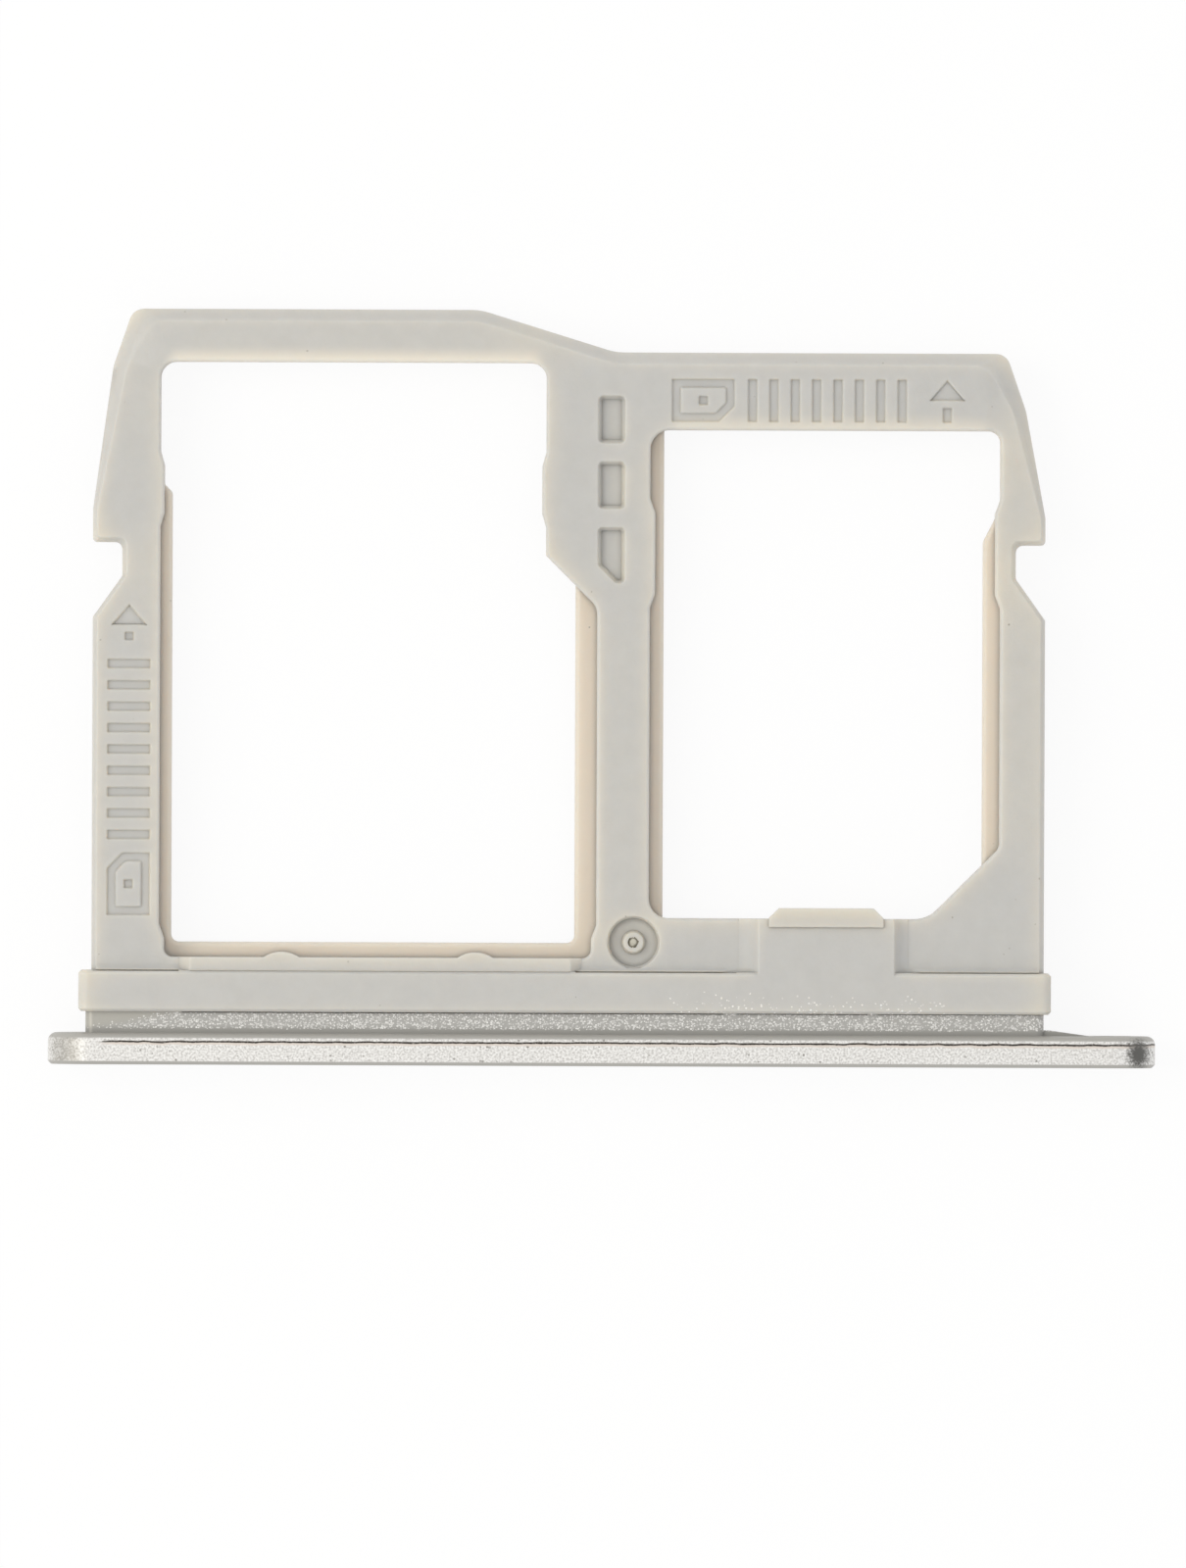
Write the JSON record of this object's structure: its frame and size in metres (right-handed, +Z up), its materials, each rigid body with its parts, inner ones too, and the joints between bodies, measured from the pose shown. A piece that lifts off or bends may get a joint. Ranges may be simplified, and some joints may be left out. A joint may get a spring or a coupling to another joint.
{
  "type": "sim card tray",
  "caption": "Flat moulded tray for a phone, with a long face plate, a sealing collar and two open pockets that hold a memory card beside a small SIM card.",
  "frame": {"origin": "on the ground under the middle of the tray's bounding box, level with the underside of the face plate", "axes": "+X along the face plate towards its long end with the pin hole, +Y the way the tray goes into the phone, +Z up out of the open card pockets"},
  "size_m": [0.028, 0.019, 0.0022],
  "materials": {
    "tray": "fine satin moulding in warm light grey; the face plate is sprayed in metallic silver"
  },
  "bodies": {
    "root": {"tray": "tray"}
  },
  "joints": []
}
